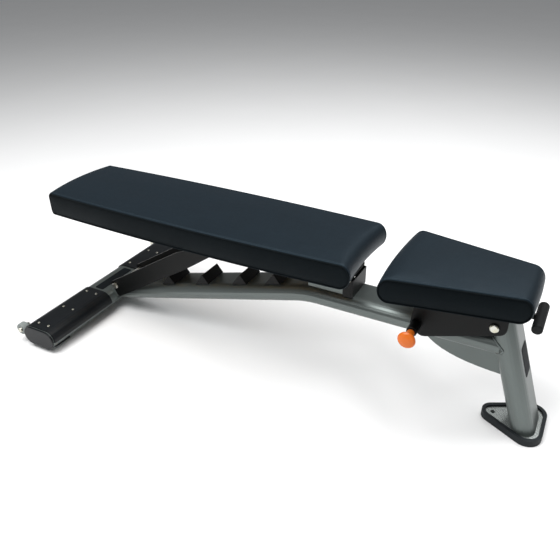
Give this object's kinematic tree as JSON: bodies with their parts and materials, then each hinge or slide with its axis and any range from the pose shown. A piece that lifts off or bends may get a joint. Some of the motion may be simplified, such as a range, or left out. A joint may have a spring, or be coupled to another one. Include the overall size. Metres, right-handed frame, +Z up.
{
  "type": "adjustable weight bench",
  "caption": "Adjustable weight bench: ladder-supported folding backrest, tilting seat with pull pin, flat-oval steel beam, wheeled cross foot and lifting handle.",
  "frame": {"origin": "on the floor, at the middle of the bench's bounding box", "axes": "+Z up, +X from the head end to the knee end, -Y the side with the pull pin"},
  "size_m": [1.559, 0.7026, 0.436],
  "materials": {
    "silver_coat": "satin silver powder coat",
    "black_coat": "fine black powder coat",
    "cover_plastic": "moulded",
    "black_rubber": "moulded",
    "wheel_plastic": "moulded",
    "zinc": "zinc plated",
    "vinyl": "grained black vinyl over foam, stitched seams",
    "plywood": "plain",
    "orange_plastic": "moulded orange"
  },
  "bodies": {
    "frame": {"cross_tube": "silver_coat", "main_beam": "silver_coat", "leg_tube": "silver_coat", "gusset_plate": "silver_coat", "hinge_upstand": "silver_coat", "wheel_plate_near": "silver_coat", "wheel_plate_far": "silver_coat", "foot_plate": "silver_coat", "handle_bar": "silver_coat", "handle_stem": "silver_coat", "step_cover_near": "cover_plastic", "step_cover_far": "cover_plastic", "cross_cap_near": "cover_plastic", "cross_cap_far": "cover_plastic", "leg_cap": "cover_plastic", "cross_foot_near": "black_rubber", "cross_foot_far": "black_rubber", "foot_boot": "black_rubber", "rest_buffer_near": "black_rubber", "rest_buffer_far": "black_rubber", "handle_grip_near": "black_rubber", "handle_grip_far": "black_rubber", "wheel_bolt_near": "zinc", "wheel_bolt_far": "zinc", "hinge_bolt": "zinc", "seat_bolt": "zinc", "ladder_tooth_1": "black_coat", "ladder_tooth_2": "black_coat", "ladder_tooth_3": "black_coat", "ladder_tooth_4": "black_coat", "hinge_ear_near": "black_coat", "hinge_ear_far": "black_coat", "hinge_web": "black_coat"},
    "backrest": {"backrest_rail_near": "black_coat", "backrest_rail_far": "black_coat", "backrest_bar_1": "black_coat", "backrest_bar_2": "black_coat", "backrest_board": "plywood", "backrest_pad": "vinyl", "hinge_tube": "black_coat"},
    "strut": {"strut_bolt": "zinc", "strut_pin": "zinc", "strut_roller": "zinc", "strut_plate_near": "black_coat", "strut_plate_far": "black_coat", "strut_spacer_near": "black_coat", "strut_spacer_far": "black_coat", "strut_brace": "black_coat"},
    "seat": {"seat_side_near": "black_coat", "seat_side_far": "black_coat", "seat_plate": "black_coat", "seat_board": "plywood", "seat_pad": "vinyl", "pin_housing": "black_coat", "pin_spring": "zinc"},
    "pull_pin": {"pull_pin": "zinc", "pull_knob": "orange_plastic"},
    "wheel_near": {"wheel_near": "wheel_plastic"},
    "wheel_far": {"wheel_far": "wheel_plastic"}
  },
  "joints": [
    {"name": "backrest_hinge", "type": "hinge", "parent": "frame", "child": "backrest", "pos_m": [0.2195, 0, 0.3434], "axis": [0, 1, 0], "range_deg": [0, 75]},
    {"name": "strut_swing", "type": "hinge", "parent": "backrest", "child": "strut", "pos_m": [-0.1875, 0, 0.3434], "axis": [0, -1, 0], "range_deg": [0, 118]},
    {"name": "seat_tilt", "type": "hinge", "parent": "frame", "child": "seat", "pos_m": [0.6115, 0, 0.325], "axis": [0, -1, 0], "range_deg": [0, 10]},
    {"name": "pull_pin_slide", "type": "slide", "parent": "seat", "child": "pull_pin", "axis": [0, -1, 0], "range_m": [0, 0.012], "stiffness_N_per_m": 900, "springref_m": -0.01, "deforming": ["pin_spring"]},
    {"name": "wheel_near_spin", "type": "hinge", "parent": "frame", "child": "wheel_near", "pos_m": [-0.7605, -0.332, 0.046], "axis": [0, 1, 0], "continuous": true},
    {"name": "wheel_far_spin", "type": "hinge", "parent": "frame", "child": "wheel_far", "pos_m": [-0.7605, 0.332, 0.046], "axis": [0, 1, 0], "continuous": true}
  ],
  "couplings": [
    {"joint": "strut_swing", "follows": "backrest_hinge", "ratio": 1.56}
  ]
}
